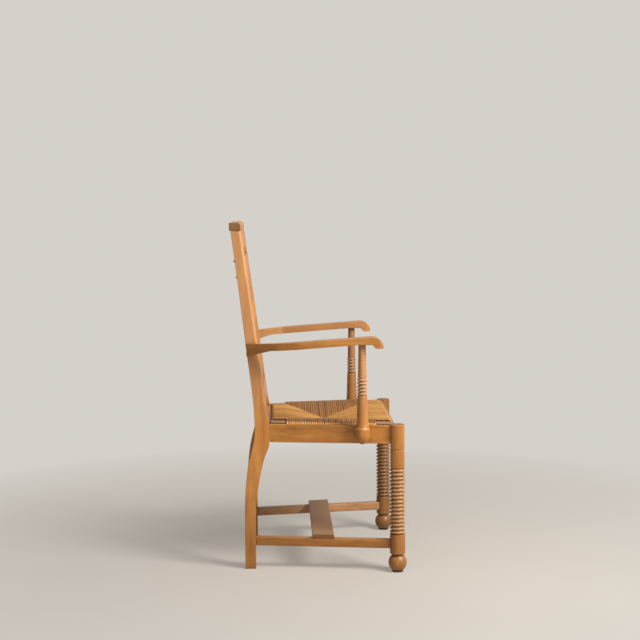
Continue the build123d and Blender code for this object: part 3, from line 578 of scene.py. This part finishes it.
def winding(bar_width, reach, share, lift):
    """Profile (distance in from the bar's outer edge, height) of one turn over and under a bar."""
    half = strand_thickness / 2
    top = bar_top + half + lift
    low = bar_bottom - half
    reach = max(reach, bar_width + dive_length)
    run = np.linspace(1.0, 0.0, run_points)
    inward = bar_width + (reach - bar_width) * run
    sag = np.power(run, dish_power) * share
    upper = np.column_stack((inward, top - dish_depth * sag))
    under = np.column_stack((inward, low - belly_depth * sag))[::-1]
    turn = np.linspace(0.5 * math.pi, 1.5 * math.pi, turn_points)
    middle = (top + low) / 2
    edge = np.column_stack(
        (
            bar_edge_radius + (bar_edge_radius + half) * np.cos(turn),
            middle + (top - middle) * np.sin(turn),
        )
    )
    dive = (reach + dive_length, upper[0][1] - dive_depth)
    rise = (reach + dive_length, under[-1][1] + dive_depth)
    return np.vstack((dive, upper, edge, under, rise))


def tube(points, across, width, thickness, phase):
    """Rings of a flattened two-ply strand along a path, and the length at each ring."""
    lengths = np.concatenate(([0.0], np.cumsum(np.linalg.norm(np.diff(points, axis=0), axis=1))))
    stations = np.linspace(0.0, lengths[-1], max(strand_least_rings, int(lengths[-1] / strand_step)))
    path = np.column_stack([np.interp(stations, lengths, points[:, k]) for k in range(3)])
    tangent = np.gradient(path, axis=0)
    tangent /= np.linalg.norm(tangent, axis=1)[:, None]
    normal = np.cross(tangent, across)
    normal /= np.linalg.norm(normal, axis=1)[:, None]
    angle = np.linspace(0.0, 2 * math.pi, strand_sides, endpoint=False)
    ply = 1 + strand_lobe * np.cos(2 * angle[None, :] - 2 * math.pi * stations[:, None] / strand_lay + phase)
    flat = (width / 2) * np.cos(angle)[None, :] * ply
    rise = (thickness / 2) * np.sin(angle)[None, :] * ply
    return path[:, None, :] + flat[:, :, None] * across + rise[:, :, None] * normal[:, None, :], stations


def weave(name, strands, material):
    """One mesh of closed strands, each with its own tone and a map along its fibres."""
    verts, faces, tones, flanks, maps = [], [], [], [], []
    across_share = np.abs(np.cos(np.linspace(0.0, 2 * math.pi, strand_sides, endpoint=False)))
    base = 0
    for points, across, width in strands:
        phase = rng.uniform(0, 2 * math.pi)
        own = rng.uniform(0.0, 1.0)
        offset = rng.uniform(0.0, strand_map_shift)
        own_width = width * rng.uniform(*strand_width_spread)
        rings, stations = tube(points, np.array(across), own_width, strand_thickness, phase)
        count = len(stations)
        verts.append(rings.reshape(-1, 3))
        tones.append(np.full(count * strand_sides, own))
        flanks.append(np.tile(across_share, count))
        for i in range(count - 1):
            for k in range(strand_sides):
                after = (k + 1) % strand_sides
                a, b = base + i * strand_sides, base + (i + 1) * strand_sides
                faces.append((a + k, a + after, b + after, b + k))
                u0, u1 = offset + k * strand_map_side, offset + (k + 1) * strand_map_side
                v0, v1 = stations[i], stations[i + 1]
                maps.extend((u0, v0, u1, v0, u1, v1, u0, v1))
        for ring, order in ((0, range(strand_sides - 1, -1, -1)), (count - 1, range(strand_sides))):
            faces.append(tuple(base + ring * strand_sides + k for k in order))
            maps.extend((offset, stations[ring]) * strand_sides)
        base += count * strand_sides
    mesh = bpy.data.meshes.new(name)
    mesh.from_pydata(np.vstack(verts).tolist(), [], faces)
    mesh.attributes.new("tone", "FLOAT", "POINT").data.foreach_set("value", np.concatenate(tones))
    mesh.attributes.new("flank", "FLOAT", "POINT").data.foreach_set("value", np.concatenate(flanks))
    mesh.uv_layers.new(name="strand").data.foreach_set("uv", np.array(maps))
    mesh.shade_smooth()
    mesh.materials.append(material)
    piece = bpy.data.objects.new(name, mesh)
    bpy.context.scene.collection.objects.link(piece)
    return piece


def jitter():
    """Small unevenness of a hand-laid strand."""
    return rng.uniform(-strand_jitter, strand_jitter)


def end_strands(front):
    """Strands over the front or rear bar, which run fore and aft."""
    outer = front_bar_low.y if front else rear_bar_high.y
    toward = 1.0 if front else -1.0
    bar_width = (front_bar_high - front_bar_low).y if front else (rear_bar_high - rear_bar_low).y
    width = 2 * side_x(outer, bar_inner_offset)
    count = round(width / strand_pitch)
    made = []
    for i in range(count):
        share = 2 * (i + 0.5) / count - 1
        seam_y = end_seam_y(abs(share), front)
        profile = winding(bar_width, abs(seam_y - outer), seam_share(seam_y), end_field_raise + jitter())
        y = outer + toward * profile[:, 0]
        x = share * np.array([side_x(depth, bar_inner_offset) for depth in y]) + jitter()
        path = np.column_stack((x, y, profile[:, 1]))
        made.append((path, (toward, 0.0, 0.0), width / count * strand_lap))
    return made


def side_strands(side):
    """Strands over a side bar, which run across the seat."""
    length = opening_rear - opening_front
    count = round(length / strand_pitch)
    made = []
    for i in range(count):
        y = opening_front + length * (i + 0.5) / count
        outer = side_x(y, bar_outer_offset)
        share = seam_share(y)
        seam_x = corner_x(y) * (1 - share)
        bar_width = outer - side_x(y, bar_inner_offset)
        profile = winding(bar_width, outer - seam_x, share, jitter())
        x = side * (outer - profile[:, 0])
        depth = np.full(len(x), y + jitter())
        path = np.column_stack((x, depth, profile[:, 1]))
        made.append((path, (0.0, side, 0.0), length / count * strand_lap))
    return made


def stuffing(name, material):
    """Packed rush between the upper and lower strands."""
    half = strand_thickness / 2
    corners = [
        (sx * side_x(y, bar_inner_offset), y)
        for sx, y in ((1, opening_front), (1, opening_rear), (-1, opening_rear), (-1, opening_front))
    ]
    upper = [(x, y, bar_top - half) for x, y in corners]
    lower = [(x, y, bar_bottom + half) for x, y in corners]
    peak = (0.0, opening_middle, bar_top - dish_depth)
    foot = (0.0, opening_middle, bar_bottom - belly_depth)
    faces = []
    count = len(corners)
    for k in range(count):
        after = (k + 1) % count
        faces.append((k, 2 * count, after))
        faces.append((count + k, count + after, 2 * count + 1))
        faces.append((k, after, count + after, count + k))
    mesh = bpy.data.meshes.new(name)
    mesh.from_pydata([*upper, *lower, peak, foot], [], faces)
    mesh.materials.append(material)
    piece = bpy.data.objects.new(name, mesh)
    bpy.context.scene.collection.objects.link(piece)
    return piece


gold = rush("rush_gold", RUSH_GOLD, lit_turn_share=0.0, flank_shade=0.35)
brown_and_shade = rush("rush_brown_and_shade", RUSH_BROWN_AND_SHADE, lit_turn_share=0.9, flank_shade=0.30)
rush_pieces = [
    weave("rush_front", end_strands(True), gold),
    weave("rush_rear", end_strands(False), gold),
    weave("rush_left", side_strands(1), brown_and_shade),
    weave("rush_right", side_strands(-1), brown_and_shade),
    stuffing("rush_stuffing", brown_and_shade),
]
for piece in rush_pieces:
    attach(piece, "root")
    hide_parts("rush_seat")


# Stage, light and camera
def floor_material():
    """Pale floor that keeps the shadow near the chair and fades into the backdrop."""
    s = Shader("floor")
    place = s.node("ShaderNodeTexCoord").outputs["Object"]
    distance = s.node("ShaderNodeVectorMath", {0: place}, operation="LENGTH").outputs["Value"]
    rays = s.node("ShaderNodeLightPath")
    seen = s.math("MAXIMUM", rays.outputs["Is Camera Ray"], rays.outputs["Is Glossy Ray"])
    seen = s.math("MAXIMUM", seen, rays.outputs["Is Transmission Ray"])
    away = s.span(distance, *floor_fade)
    fade = s.math("MULTIPLY", s.span(away, 0.0, 1.0, floor_veil, 1.0), seen)
    tint = tuple(floor_tint * part for part in floor_colour)
    colour = s.ramp(s.noise(place, *floor_noise), floor_stops, (tint, floor_colour))
    surface = s.node("ShaderNodeBsdfPrincipled", {"Base Color": colour, "Roughness": floor_roughness})
    glow = s.mix(away, floor_glow, backdrop_colour)
    beyond = s.node("ShaderNodeEmission", {"Color": glow, "Strength": 1.0})
    shown = s.node(
        "ShaderNodeMixShader", {0: fade, 1: surface.outputs["BSDF"], 2: beyond.outputs["Emission"]}
    )
    return s.finish(shown.outputs["Shader"])


floor_mesh = bpy.data.meshes.new("floor")
floor_mesh.from_pydata(
    [(sx * floor_radius, sy * floor_radius, 0.0) for sx, sy in ((-1, -1), (1, -1), (1, 1), (-1, 1))],
    [],
    [(0, 1, 2, 3)],
)
floor_mesh.materials.append(floor_material())
floor = bpy.data.objects.new("floor", floor_mesh)
bpy.context.scene.collection.objects.link(floor)

world = bpy.data.worlds.new("studio")
world.use_nodes = True
sky = world.node_tree
sky.nodes.clear()
rays = sky.nodes.new("ShaderNodeLightPath")
direct = sky.nodes.new("ShaderNodeMath")
direct.operation = "MAXIMUM"
seen = sky.nodes.new("ShaderNodeBackground")
seen.inputs["Color"].default_value = (*backdrop_colour, 1.0)
seen.inputs["Strength"].default_value = 1.0
fill = sky.nodes.new("ShaderNodeBackground")
fill.inputs["Color"].default_value = (*fill_colour, 1.0)
fill.inputs["Strength"].default_value = fill_strength
pick = sky.nodes.new("ShaderNodeMixShader")
sky_out = sky.nodes.new("ShaderNodeOutputWorld")
sky.links.new(rays.outputs["Is Camera Ray"], direct.inputs[0])
sky.links.new(rays.outputs["Is Glossy Ray"], direct.inputs[1])
sky.links.new(direct.outputs[0], pick.inputs[0])
sky.links.new(fill.outputs[0], pick.inputs[1])
sky.links.new(seen.outputs[0], pick.inputs[2])
sky.links.new(pick.outputs[0], sky_out.inputs["Surface"])
bpy.context.scene.world = world


def lamp(name, place, target, size, power, colour):
    """Soft square light aimed at a point."""
    data = bpy.data.lights.new(name, "AREA")
    data.size = size
    data.energy = power
    data.color = colour
    made = bpy.data.objects.new(name, data)
    made.location = place
    made.rotation_mode = "QUATERNION"
    made.rotation_quaternion = (Vector(target) - Vector(place)).to_track_quat("-Z", "Y")
    bpy.context.scene.collection.objects.link(made)


for name, settings in LAMPS.items():
    lamp(name, **settings)

camera_data = bpy.data.cameras.new("camera")
camera_data.lens = camera_lens
camera_data.sensor_width = camera_sensor
camera = bpy.data.objects.new("camera", camera_data)
ahead = Vector(
    (
        math.cos(camera_yaw) * math.cos(camera_pitch),
        math.sin(camera_yaw) * math.cos(camera_pitch),
        -math.sin(camera_pitch),
    )
)
level = Vector((math.sin(camera_yaw), -math.cos(camera_yaw), 0.0))
upright = level.cross(ahead)
right = level * math.cos(camera_roll) + upright * math.sin(camera_roll)
up = upright * math.cos(camera_roll) - level * math.sin(camera_roll)
camera.matrix_world = Matrix.Translation(camera_place) @ Matrix((right, up, -ahead)).transposed().to_4x4()
bpy.context.scene.collection.objects.link(camera)
bpy.context.scene.camera = camera
bpy.context.scene.view_settings.view_transform = "Standard"
